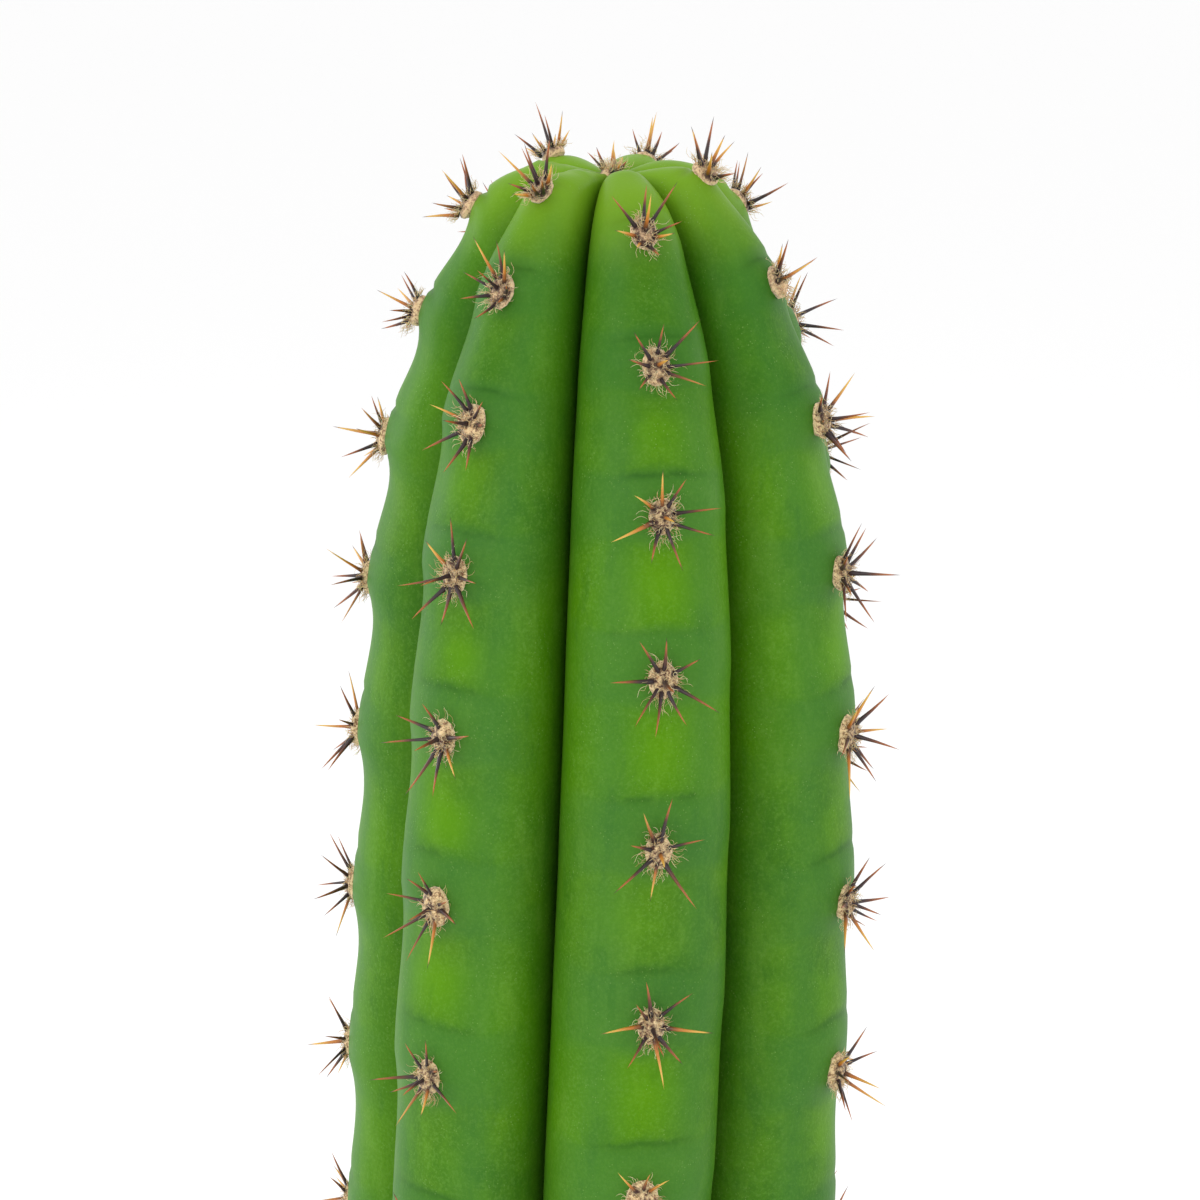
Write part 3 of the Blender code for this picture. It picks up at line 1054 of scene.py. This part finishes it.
def soilLoops():
    low = pot["floor"] + bed["gap"]
    deepest = stem["height"] + stem["buried"]
    loops = [[Vector((0.0, 0.0, stemTip - deepest - bed["gap"]))]]
    for row in range(1, bed["socketRows"]):
        share = row / bed["socketRows"]
        loops.append(socketLoop(deepest - stem["buried"] * share * share))
    inner = socketLoop(stem["height"])
    outer = innerWall(soilEdge) - bed["gap"]
    for ring in range(bed["rings"] + 1):
        share = ring / bed["rings"]
        loop = []
        for start in inner:
            end = Vector((start.x, start.y, 0.0)).normalized() * outer
            point = start.lerp(end, share)
            settle = soilTop - bed["sunk"] - (soilTop - soilEdge) * share - bed["dish"] * bell(share, 0.10)
            lump = soilLumps(Vector((point.x, point.y, 0.0)))
            point.z = settle + lump - bed["fall"] * smoothStep(share, 0.85, 1.0)
            loop.append(point)
        loops.append(loop)
    brim = loops[-1]
    for row in range(1, bed["wallRows"] + 1):
        share = row / bed["wallRows"]
        loop = []
        for point in brim:
            height = point.z + (low - point.z) * share
            chamfer = innerWall(pot["floor"] + bed["chamfer"]) + (height - low) * bed["chamferSlope"]
            radius = min(innerWall(height), chamfer) - bed["gap"]
            loop.append(Vector((point.x, point.y, 0.0)).normalized() * radius + Vector((0.0, 0.0, height)))
        loops.append(loop)
    loops.append([Vector((0.0, 0.0, low))])
    return loops


def soilMaterial(name, light, dark, speck):
    material, graph, body = newMaterial(name, **{"Specular IOR Level": 0.2})
    spot = graph.spot()
    tint = graph.stored("tint")
    rough = graph.noise(spot, 300.0, 5.0, 0.7)
    fine = graph.noise(spot, 1500.0, 3.0, 0.7)
    colour = graph.mixColours(smoothStep(rough + tint * 0.5, 0.35, 0.95), dark, light)
    colour = graph.mixColours(smoothStep(fine, 0.60, 0.72) * 0.5, colour, speck)
    relief = rough + fine * 0.5
    bump = graph.bump(0.8, 0.0006, relief)
    feed(graph, body, Base_Color=colour, Roughness=0.85 + fine * 0.15, Normal=bump)
    return material


loam = soilMaterial("pottingLoam", rgb(92, 68, 50), rgb(38, 27, 21), rgb(126, 102, 80))
soilPiece = loopMesh("soilBed", soilLoops(), False, loam)


# a lumpy pebble a unit across, and a flat chip of bark
def pebblePattern(name, steps, flat, rough, seed):
    bm = bmesh.new()
    bmesh.ops.create_icosphere(bm, subdivisions=steps, radius=0.5)
    for vertex in bm.verts:
        swell = 1.0 + rough * noise.noise(vertex.co * 2.4 + Vector((seed, 0.0, 0.0)))
        vertex.co = Vector((vertex.co.x, vertex.co.y * 0.8, vertex.co.z * flat)) * swell
    return newObject(name, meshFrom(bm, name))


# the soil's top, thrown away once the grains stand on it
def soilTopMesh():
    bm = bmesh.new()
    bm.from_mesh(soilPiece.data)
    buried = [f for f in bm.faces if f.normal.z < 0.3 or f.calc_center_median().z < soilEdge - 0.006]
    bmesh.ops.delete(bm, geom=buried, context="FACES")
    return meshFrom(bm, "soilTop")


def grainTree(pattern):
    def build(graph, entry, s):
        sockets = {"Mesh": entry, "Density": s["density"], "Seed": s["seed"]}
        points = graph.node("GeometryNodeDistributePointsOnFaces", None, sockets, "Points")
        seed = s["seed"]
        tilt = graph.joinVector(
            graph.random(-0.6, 0.6, seed + 1), graph.random(-0.6, 0.6, seed + 2),
            graph.random(0.0, 2 * math.pi, seed + 3),
        )
        share = graph.random(0.0, 1.0, seed + 4)
        width = s["smallest"] + (s["largest"] - s["smallest"]) * share * share
        scale = graph.joinVector(width, width * graph.random(0.6, 1.1, seed + 5), width)
        grains = graph.instances(points, graph.shapeOf(pattern), tilt, scale)
        lifted = graph.joinVector(0.0, 0.0, width * 0.12)
        moved = {"Instances": grains, "Translation": lifted, "Local Space": False}
        grains = graph.node("GeometryNodeTranslateInstances", None, moved)
        return graph.store(grains, "tint", graph.random(0.0, 1.0, seed + 6), "FLOAT", "INSTANCE")
    return build


crumb = {"density": 85000.0, "smallest": 0.0010, "largest": 0.0034, "seed": 11}
grit = {"density": 30000.0, "smallest": 0.0014, "largest": 0.0044, "seed": 23}
perlite = {"density": 6000.0, "smallest": 0.0016, "largest": 0.0042, "seed": 35}
chip = {"density": 7000.0, "smallest": 0.0035, "largest": 0.0095, "seed": 47}
grainKinds = (
    ("soilCrumbs", crumb, pebblePattern("crumbPattern", 1, 0.8, 0.7, 1.0),
     soilMaterial("darkCrumb", rgb(86, 60, 42), rgb(30, 21, 17), rgb(112, 84, 62))),
    ("soilGrit", grit, pebblePattern("gritPattern", 2, 0.65, 0.6, 4.0),
     soilMaterial("riverGrit", rgb(176, 162, 142), rgb(104, 94, 84), rgb(206, 194, 176))),
    ("soilPerlite", perlite, pebblePattern("perlitePattern", 2, 0.85, 0.8, 8.0),
     soilMaterial("whitePerlite", rgb(238, 234, 224), rgb(206, 198, 184), rgb(190, 180, 162))),
    ("soilBark", chip, pebblePattern("barkPattern", 2, 0.28, 0.5, 6.0),
     soilMaterial("barkChip", rgb(122, 78, 48), rgb(58, 36, 25), rgb(150, 104, 68))),
)
topMesh = soilTopMesh()
grainPieces = []
for name, sizes, pattern, finish in grainKinds:
    grainPieces.append(growPiece(name, grainTree(pattern), sizes, finish, topMesh))
    bpy.data.objects.remove(pattern)
print("pot filled")

place(potPiece, "clay", "clay_pot")
place(soilPiece, "potting_mix", "soil")
for piece in grainPieces:
    place(piece, "potting_mix")
place(stemSkin, "cactus_skin", "cactus_stem")
for piece in (spines, pads, curls, felting):
    place(piece, "cactus_skin")

# floor, light and camera
stage = {
    "floorSize": 60.0,
    "floorColour": (0.98, 0.98, 0.98, 1.0),
    "world": 1.0,
    "lights": (  # name, power, size, place measured from the stem's tip
        ("key", 6.5, 0.9, (-0.9, -1.2, 0.7)),
        ("fill", 1.5, 1.2, (1.3, -0.9, 0.1)),
        ("edgeLeft", 6.0, 0.8, (-1.4, 0.7, 0.2)),
        ("edgeRight", 3.6, 0.8, (1.4, 0.7, 0.2)),
    ),
    "aim": -0.10,  # the lights' target and the camera's places, from the tip too
    "focal": 93.9,
    "cameraBack": 0.377,
    "cameraAbove": 0.0458,
    "cameraRight": 0.0003,
    "cameraPitch": math.radians(15.0),
}


def makeFloor():
    bm = bmesh.new()
    bmesh.ops.create_grid(bm, x_segments=1, y_segments=1, size=stage["floorSize"] / 2)
    floor = newObject("floor", meshFrom(bm, "floor"))
    material, _, _ = newMaterial("paleFloor", **{"Base Color": stage["floorColour"], "Roughness": 0.9})
    floor.data.materials.append(material)


def makeLight(name, power, edge, where):
    data = bpy.data.lights.new(name, "AREA")
    data.energy = power
    data.size = edge
    light = newObject(name, data)
    light.location = Vector(where) + Vector((0.0, 0.0, stemTip))
    target = Vector((0.0, 0.0, stemTip + stage["aim"]))
    light.rotation_euler = (target - light.location).to_track_quat("-Z", "Y").to_euler()


def makeCamera():
    camera = bpy.data.cameras.new("camera")
    camera.lens = stage["focal"]
    camera.sensor_width = 36.0
    camera.clip_start = 0.01
    camera.clip_end = 200.0
    rig = newObject("camera", camera)
    rig.location = (stage["cameraRight"], -stage["cameraBack"], stemTip + stage["cameraAbove"])
    rig.rotation_euler = (math.radians(90) - stage["cameraPitch"], 0.0, 0.0)
    bpy.context.scene.camera = rig


def makeStage():
    makeFloor()
    scene = bpy.context.scene
    scene.view_settings.view_transform = "Standard"
    world = bpy.data.worlds.new("studio")
    world.use_nodes = True
    background = world.node_tree.nodes["Background"]
    background.inputs["Color"].default_value = (1.0, 1.0, 1.0, 1.0)
    background.inputs["Strength"].default_value = stage["world"]
    scene.world = world
    for light in stage["lights"]:
        makeLight(*light)
    makeCamera()


makeStage()
print("stage set")
